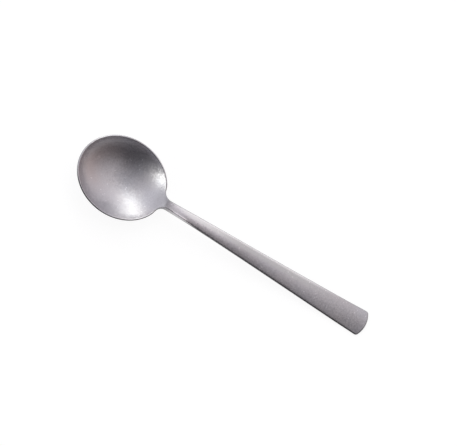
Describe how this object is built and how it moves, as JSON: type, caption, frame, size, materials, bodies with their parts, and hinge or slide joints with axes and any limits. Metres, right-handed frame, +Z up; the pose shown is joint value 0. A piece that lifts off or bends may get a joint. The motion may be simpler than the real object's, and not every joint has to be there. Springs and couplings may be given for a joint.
{
  "type": "soup spoon",
  "caption": "Round-bowl soup spoon of satin stainless steel, with a slim neck and a straight handle that widens to a gently rounded end.",
  "frame": {"origin": "on the table, under the middle of the spoon's length and width", "axes": "+X from the tip of the bowl to the end of the handle, +Z up from the table on which the spoon lies with its bowl open upwards, +Y across"},
  "size_m": [0.18, 0.0418, 0.0113],
  "materials": {
    "satin_steel": "fine tumbled satin, slightly polished along the rim and edges"
  },
  "bodies": {
    "root": {"bowl": "satin_steel", "neck": "satin_steel", "handle": "satin_steel"}
  },
  "joints": []
}
